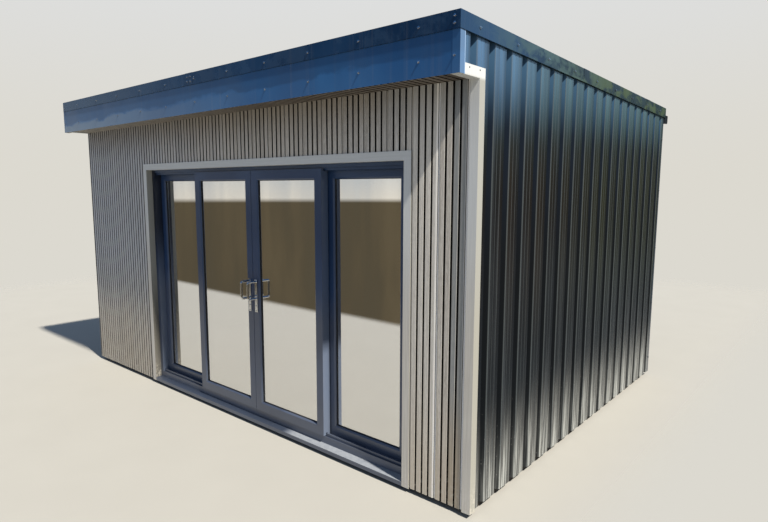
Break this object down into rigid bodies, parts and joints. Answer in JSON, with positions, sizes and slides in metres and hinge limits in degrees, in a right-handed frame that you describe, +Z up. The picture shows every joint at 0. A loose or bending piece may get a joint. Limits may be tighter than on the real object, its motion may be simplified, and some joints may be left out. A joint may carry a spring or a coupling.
{
  "type": "garden office pod",
  "caption": "Hollow garden office pod: slatted front under a deep fascia, ribbed steel side and rear walls, low-fall roof with gutter, and patio doors whose middle leaves slide apart.",
  "frame": {"origin": "at ground level under the middle of the base, halfway between the left wall corner and the right-hand corner trim and between the front trim face and the rear sheets", "axes": "+X to the right seen from the front, +Y from the doors to the rear wall, +Z up"},
  "size_m": [5.179, 4.0311, 2.933],
  "materials": {
    "treated_timber": "rough sawn, treated",
    "panel_board": "strand board faces",
    "floor_finish": "satin boards",
    "lining_paint": "matt white paint on plasterboard",
    "slat_cladding": "embossed grain, matt",
    "trim_composite": "fine embossed grain, matt",
    "sheet_steel": "semi-gloss coil coating",
    "flashing_steel": "glossy coil coating",
    "roof_membrane": "matt sheet",
    "gutter_plastic": "semi-gloss",
    "door_frame": "satin powder coat",
    "door_glass": "clear, reflective",
    "handle_metal": "polished"
  },
  "bodies": {
    "building": {"base_rims": "treated_timber", "base_bearers": "treated_timber", "cladding_battens": "treated_timber", "floor_panel": "panel_board", "front_wall_left": "panel_board", "front_wall_right": "panel_board", "front_wall_over_door": "panel_board", "side_walls": "panel_board", "rear_wall": "panel_board", "roof_panel": "panel_board", "roof_deck": "panel_board", "floor_boards": "floor_finish", "inner_linings": "lining_paint", "front_cladding_left": "slat_cladding", "front_cladding_right": "slat_cladding", "front_cladding_over_door": "slat_cladding", "soffit_cladding": "slat_cladding", "corner_trims": "trim_composite", "soffit_end_trims": "trim_composite", "door_trim_sides": "trim_composite", "door_trim_head": "trim_composite", "side_wall_sheets": "sheet_steel", "rear_wall_sheets": "sheet_steel", "front_fascia": "flashing_steel", "corner_flashings": "flashing_steel", "front_top_flashing": "flashing_steel", "verge_flashings": "flashing_steel", "left_verge_soffit": "flashing_steel", "eaves_flashing": "flashing_steel", "roof_membrane": "roof_membrane", "gutter": "gutter_plastic", "gutter_brackets": "gutter_plastic", "downpipe": "gutter_plastic", "door_sill": "door_frame", "door_track": "door_frame", "door_jambs": "door_frame", "door_head": "door_frame", "fixed_frames": "door_frame", "fixed_panes": "door_glass"},
    "left_leaf": {"left_leaf_frame": "door_frame", "left_leaf_glass": "door_glass", "left_leaf_handles": "handle_metal"},
    "right_leaf": {"right_leaf_frame": "door_frame", "right_leaf_glass": "door_glass", "right_leaf_handles": "handle_metal"}
  },
  "joints": [
    {"name": "left_leaf_slide", "type": "slide", "parent": "building", "child": "left_leaf", "axis": [-1, 0, 0], "range_m": [0, 0.7]},
    {"name": "right_leaf_slide", "type": "slide", "parent": "building", "child": "right_leaf", "axis": [1, 0, 0], "range_m": [0, 0.7]}
  ]
}
